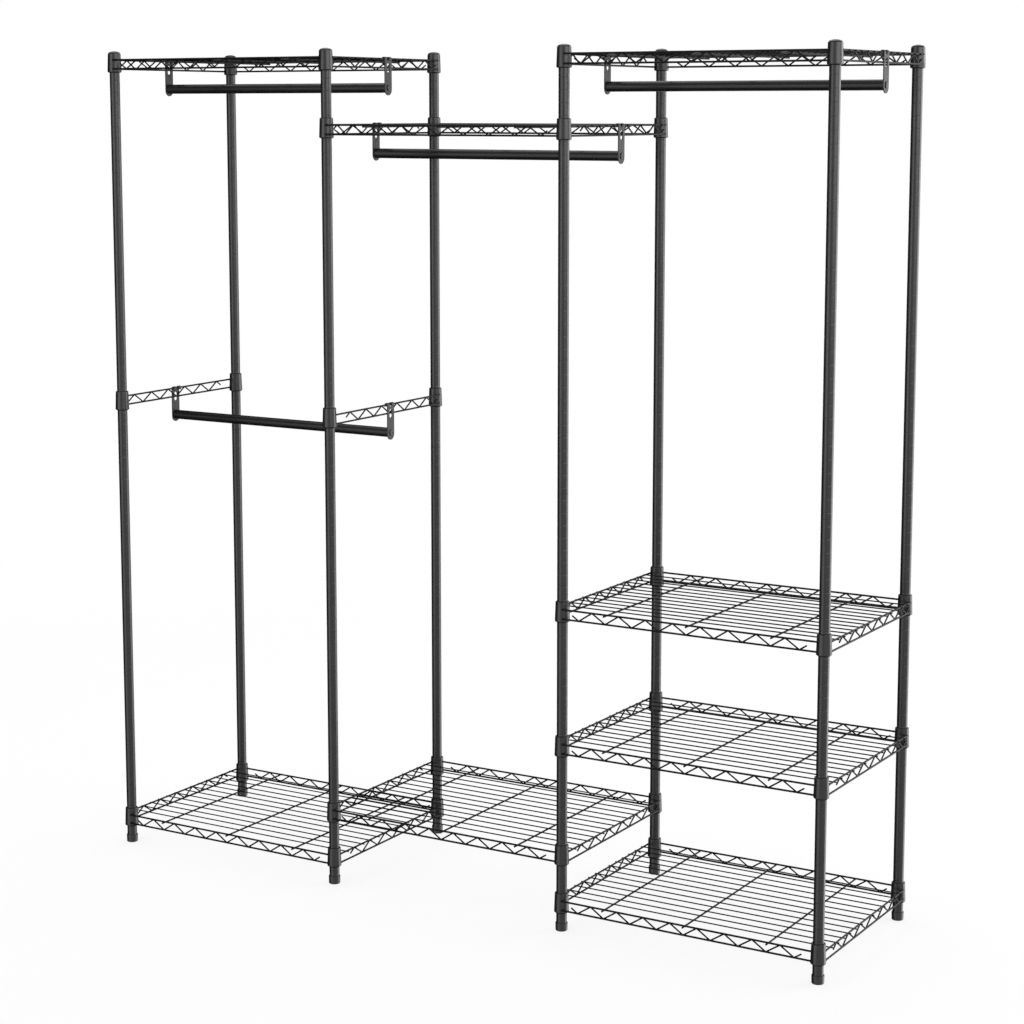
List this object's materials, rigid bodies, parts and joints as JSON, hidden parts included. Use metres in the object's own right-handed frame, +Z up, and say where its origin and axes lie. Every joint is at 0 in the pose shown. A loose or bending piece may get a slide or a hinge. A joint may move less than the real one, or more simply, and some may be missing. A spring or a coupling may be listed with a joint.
{
  "type": "open frame wardrobe",
  "caption": "Freestanding open wardrobe of grooved tube posts and clip-on wire shelves, with hanging rods hooked under the shelves and screw levelling feet.",
  "frame": {"origin": "on the floor, under the middle of the row of bays", "axes": "+X along the row from the double-rod bay to the bay of shelves, +Y from the front to the back, +Z up"},
  "size_m": [1.7506, 0.448, 1.8],
  "materials": {
    "post": "satin charcoal powder coat",
    "shelf": "satin charcoal powder coat",
    "rail": "satin charcoal powder coat",
    "rod": "smooth black coat, a little glossier than the posts",
    "hanger": "matte charcoal powder coat on pressed strip",
    "rod_screw": "black plated screw",
    "bushing": "plain turned steel",
    "screw_steel": "zinc plated screw",
    "cap": "black moulded plastic",
    "sleeve": "black moulded plastic",
    "foot": "black moulded plastic"
  },
  "bodies": {
    "frame": {"front_post_1_lower": "post", "front_post_1_upper": "post", "front_post_2_lower": "post", "front_post_2_upper": "post", "front_post_3_lower": "post", "front_post_3_upper": "post", "front_post_4_lower": "post", "front_post_4_upper": "post", "rear_post_1_lower": "post", "rear_post_1_upper": "post", "rear_post_2_lower": "post", "rear_post_2_upper": "post", "rear_post_3_lower": "post", "rear_post_3_upper": "post", "rear_post_4_lower": "post", "rear_post_4_upper": "post", "post_bushings": "bushing", "post_joint_studs": "screw_steel", "post_caps": "cap", "split_sleeves": "sleeve", "left_top_shelf": "shelf", "left_bottom_shelf": "shelf", "middle_top_shelf": "shelf", "middle_bottom_shelf": "shelf", "right_top_shelf": "shelf", "right_upper_shelf": "shelf", "right_lower_shelf": "shelf", "right_bottom_shelf": "shelf", "left_outer_side_rail": "rail", "left_inner_side_rail": "rail"},
    "front_foot_1_screw": {"front_foot_1_screw": "screw_steel"},
    "front_foot_1_cup": {"front_foot_1_cup": "foot"},
    "front_foot_2_screw": {"front_foot_2_screw": "screw_steel"},
    "front_foot_2_cup": {"front_foot_2_cup": "foot"},
    "front_foot_3_screw": {"front_foot_3_screw": "screw_steel"},
    "front_foot_3_cup": {"front_foot_3_cup": "foot"},
    "front_foot_4_screw": {"front_foot_4_screw": "screw_steel"},
    "front_foot_4_cup": {"front_foot_4_cup": "foot"},
    "rear_foot_1_screw": {"rear_foot_1_screw": "screw_steel"},
    "rear_foot_1_cup": {"rear_foot_1_cup": "foot"},
    "rear_foot_2_screw": {"rear_foot_2_screw": "screw_steel"},
    "rear_foot_2_cup": {"rear_foot_2_cup": "foot"},
    "rear_foot_3_screw": {"rear_foot_3_screw": "screw_steel"},
    "rear_foot_3_cup": {"rear_foot_3_cup": "foot"},
    "rear_foot_4_screw": {"rear_foot_4_screw": "screw_steel"},
    "rear_foot_4_cup": {"rear_foot_4_cup": "foot"},
    "left_top_rod": {"left_top_rod": "rod", "left_top_rod_hangers": "hanger", "left_top_rod_screws": "rod_screw"},
    "left_mid_rod": {"left_mid_rod": "rod", "left_mid_rod_hangers": "hanger", "left_mid_rod_screws": "rod_screw"},
    "middle_rod": {"middle_rod": "rod", "middle_rod_hangers": "hanger", "middle_rod_screws": "rod_screw"},
    "right_rod": {"right_rod": "rod", "right_rod_hangers": "hanger", "right_rod_screws": "rod_screw"}
  },
  "joints": [
    {"name": "front_foot_1_travel", "type": "slide", "parent": "frame", "child": "front_foot_1_screw", "axis": [0, 0, 1], "range_m": [-0.00501, 0.00501]},
    {"name": "front_foot_1_turn", "type": "hinge", "parent": "front_foot_1_screw", "child": "front_foot_1_cup", "pos_m": [-0.855, -0.2075, 0], "axis": [0, 0, 1], "range_deg": [-1440, 1440]},
    {"name": "front_foot_2_travel", "type": "slide", "parent": "frame", "child": "front_foot_2_screw", "axis": [0, 0, 1], "range_m": [-0.00501, 0.00501]},
    {"name": "front_foot_2_turn", "type": "hinge", "parent": "front_foot_2_screw", "child": "front_foot_2_cup", "pos_m": [-0.285, -0.2075, 0], "axis": [0, 0, 1], "range_deg": [-1440, 1440]},
    {"name": "front_foot_3_travel", "type": "slide", "parent": "frame", "child": "front_foot_3_screw", "axis": [0, 0, 1], "range_m": [-0.00501, 0.00501]},
    {"name": "front_foot_3_turn", "type": "hinge", "parent": "front_foot_3_screw", "child": "front_foot_3_cup", "pos_m": [0.285, -0.2075, 0], "axis": [0, 0, 1], "range_deg": [-1440, 1440]},
    {"name": "front_foot_4_travel", "type": "slide", "parent": "frame", "child": "front_foot_4_screw", "axis": [0, 0, 1], "range_m": [-0.00501, 0.00501]},
    {"name": "front_foot_4_turn", "type": "hinge", "parent": "front_foot_4_screw", "child": "front_foot_4_cup", "pos_m": [0.855, -0.2075, 0], "axis": [0, 0, 1], "range_deg": [-1440, 1440]},
    {"name": "rear_foot_1_travel", "type": "slide", "parent": "frame", "child": "rear_foot_1_screw", "axis": [0, 0, 1], "range_m": [-0.00501, 0.00501]},
    {"name": "rear_foot_1_turn", "type": "hinge", "parent": "rear_foot_1_screw", "child": "rear_foot_1_cup", "pos_m": [-0.855, 0.2075, 0], "axis": [0, 0, 1], "range_deg": [-1440, 1440]},
    {"name": "rear_foot_2_travel", "type": "slide", "parent": "frame", "child": "rear_foot_2_screw", "axis": [0, 0, 1], "range_m": [-0.00501, 0.00501]},
    {"name": "rear_foot_2_turn", "type": "hinge", "parent": "rear_foot_2_screw", "child": "rear_foot_2_cup", "pos_m": [-0.285, 0.2075, 0], "axis": [0, 0, 1], "range_deg": [-1440, 1440]},
    {"name": "rear_foot_3_travel", "type": "slide", "parent": "frame", "child": "rear_foot_3_screw", "axis": [0, 0, 1], "range_m": [-0.00501, 0.00501]},
    {"name": "rear_foot_3_turn", "type": "hinge", "parent": "rear_foot_3_screw", "child": "rear_foot_3_cup", "pos_m": [0.285, 0.2075, 0], "axis": [0, 0, 1], "range_deg": [-1440, 1440]},
    {"name": "rear_foot_4_travel", "type": "slide", "parent": "frame", "child": "rear_foot_4_screw", "axis": [0, 0, 1], "range_m": [-0.00501, 0.00501]},
    {"name": "rear_foot_4_turn", "type": "hinge", "parent": "rear_foot_4_screw", "child": "rear_foot_4_cup", "pos_m": [0.855, 0.2075, 0], "axis": [0, 0, 1], "range_deg": [-1440, 1440]},
    {"name": "left_top_rod_lift", "type": "slide", "parent": "frame", "child": "left_top_rod", "axis": [0, 0, 1], "range_m": [0, 0.012]},
    {"name": "left_mid_rod_lift", "type": "slide", "parent": "frame", "child": "left_mid_rod", "axis": [0, 0, 1], "range_m": [0, 0.012]},
    {"name": "middle_rod_lift", "type": "slide", "parent": "frame", "child": "middle_rod", "axis": [0, 0, 1], "range_m": [0, 0.012]},
    {"name": "right_rod_lift", "type": "slide", "parent": "frame", "child": "right_rod", "axis": [0, 0, 1], "range_m": [0, 0.012]}
  ],
  "couplings": [
    {"joint": "front_foot_1_travel", "follows": "front_foot_1_turn", "m_per_rad": 0.00019894},
    {"joint": "front_foot_2_travel", "follows": "front_foot_2_turn", "m_per_rad": 0.00019894},
    {"joint": "front_foot_3_travel", "follows": "front_foot_3_turn", "m_per_rad": 0.00019894},
    {"joint": "front_foot_4_travel", "follows": "front_foot_4_turn", "m_per_rad": 0.00019894},
    {"joint": "rear_foot_1_travel", "follows": "rear_foot_1_turn", "m_per_rad": 0.00019894},
    {"joint": "rear_foot_2_travel", "follows": "rear_foot_2_turn", "m_per_rad": 0.00019894},
    {"joint": "rear_foot_3_travel", "follows": "rear_foot_3_turn", "m_per_rad": 0.00019894},
    {"joint": "rear_foot_4_travel", "follows": "rear_foot_4_turn", "m_per_rad": 0.00019894}
  ]
}
